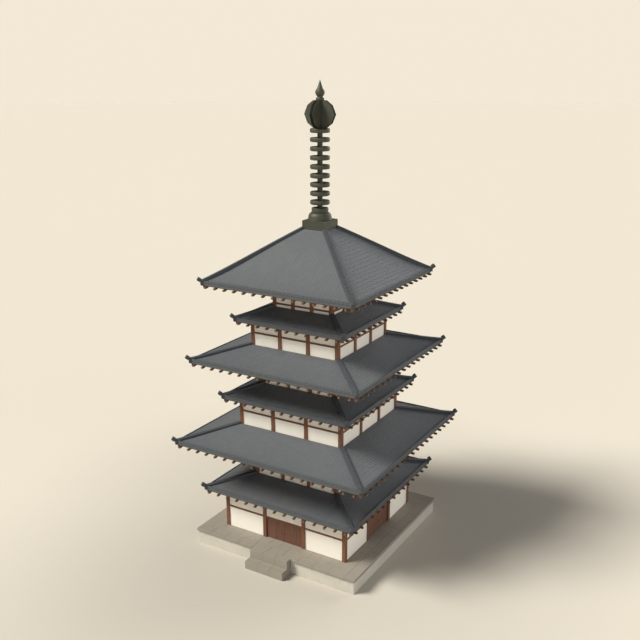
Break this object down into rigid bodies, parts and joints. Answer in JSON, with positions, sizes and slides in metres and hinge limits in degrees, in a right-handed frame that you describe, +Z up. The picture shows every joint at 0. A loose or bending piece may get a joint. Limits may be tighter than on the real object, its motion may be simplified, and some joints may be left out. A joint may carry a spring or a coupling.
{
  "type": "timber pagoda",
  "caption": "Square timber pagoda on a stone platform, with tiled main and pent roofs, plastered walls, hinged doors that open outward and a ringed bronze finial.",
  "frame": {"origin": "middle of the platform's foot, on the ground", "axes": "+Z up along the tower's axis, -Y towards the front with the steps, +X towards the right side"},
  "size_m": [16.116, 16.116, 34.13],
  "materials": {
    "stone": "dressed, pale buff",
    "coping_stone": "dressed, buff",
    "timber": "dark red-brown stain",
    "door_boards": "dark brown stain",
    "plaster": "matt lime plaster, warm white",
    "roof_tile": "matt smoked grey",
    "bronze": "dark olive patina"
  },
  "bodies": {
    "building": {"platform": "stone", "platform_coping": "coping_stone", "front_steps": "coping_stone", "front_frame": "timber", "right_frame": "timber", "back_frame": "timber", "left_frame": "timber", "ground_wall_plate": "timber", "front_left_panel": "plaster", "front_right_panel": "plaster", "front_door_head": "plaster", "right_front_panel": "plaster", "right_back_panel": "plaster", "right_door_head": "plaster", "back_wall": "plaster", "left_wall": "plaster", "back_door": "door_boards", "left_door": "door_boards", "core_frame_1": "timber", "core_frame_2": "timber", "core_frame_3": "timber", "upper_wall_1": "plaster", "upper_wall_2": "plaster", "upper_wall_3": "plaster", "storey_2_frame": "timber", "storey_2_wall": "plaster", "storey_3_frame": "timber", "storey_3_wall": "plaster", "pent_rafters_1": "timber", "pent_rafters_2": "timber", "pent_rafters_3": "timber", "pent_roof_1": "roof_tile", "pent_roof_2": "roof_tile", "pent_roof_3": "roof_tile", "main_rafters_1": "timber", "main_rafters_2": "timber", "main_rafters_3": "timber", "main_roof_1": "roof_tile", "main_roof_2": "roof_tile", "main_roof_3": "roof_tile", "finial_base": "bronze", "finial_bowl": "bronze", "finial_shaft": "bronze", "finial_plates": "bronze", "finial_spire": "bronze"},
    "front_left_leaf": {"front_door_left_leaf": "door_boards"},
    "front_right_leaf": {"front_door_right_leaf": "door_boards"},
    "right_front_leaf": {"right_door_front_leaf": "door_boards"},
    "right_back_leaf": {"right_door_back_leaf": "door_boards"}
  },
  "joints": [
    {"name": "front_left_door_hinge", "type": "hinge", "parent": "building", "child": "front_left_leaf", "pos_m": [-1.47167, -5.09, 2], "axis": [0, 0, -1], "range_deg": [0, 100]},
    {"name": "front_right_door_hinge", "type": "hinge", "parent": "building", "child": "front_right_leaf", "pos_m": [1.47167, -5.09, 2], "axis": [0, 0, 1], "range_deg": [0, 100]},
    {"name": "right_front_door_hinge", "type": "hinge", "parent": "building", "child": "right_front_leaf", "pos_m": [5.09, -1.47167, 2], "axis": [0, 0, -1], "range_deg": [0, 100]},
    {"name": "right_back_door_hinge", "type": "hinge", "parent": "building", "child": "right_back_leaf", "pos_m": [5.09, 1.47167, 2], "axis": [0, 0, 1], "range_deg": [0, 100]}
  ]
}
